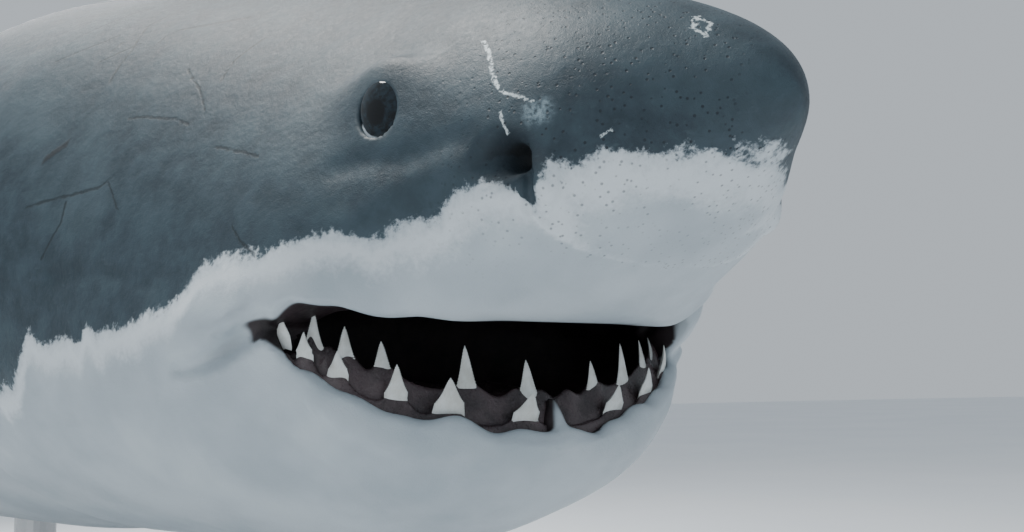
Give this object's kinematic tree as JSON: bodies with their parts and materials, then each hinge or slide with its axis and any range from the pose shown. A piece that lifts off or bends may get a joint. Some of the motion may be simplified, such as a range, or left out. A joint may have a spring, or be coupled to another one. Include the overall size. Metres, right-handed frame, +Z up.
{
  "type": "great white shark model",
  "caption": "Life-size still model of a great white shark with its mouth half open, held above a flat plain base by two short round rods.",
  "frame": {"origin": "centre of the stand base's underside, on the floor", "axes": "+X towards the snout, +Y to the animal's left, +Z up"},
  "size_m": [4.2991, 1.9185, 1.7213],
  "materials": {
    "skin": "satin, dark slate above and pale below",
    "mouth": "wet satin",
    "teeth": "satin",
    "eye": "polished black",
    "stand_paint": "dark satin paint",
    "stand_metal": "satin"
  },
  "bodies": {
    "root": {"head": "skin", "gill_region": "skin", "trunk": "skin", "abdomen": "skin", "tail_stalk": "skin", "lower_jaw": "skin", "first_dorsal_fin": "skin", "second_dorsal_fin": "skin", "anal_fin": "skin", "pectoral_fin_left": "skin", "pectoral_fin_right": "skin", "pelvic_fin_left": "skin", "pelvic_fin_right": "skin", "tail_fin_upper": "skin", "tail_fin_lower": "skin", "tongue": "mouth", "eye_left": "eye", "eye_right": "eye", "stand_base": "stand_paint", "stand_rod_front": "stand_metal", "stand_rod_rear": "stand_metal"}
  },
  "joints": []
}
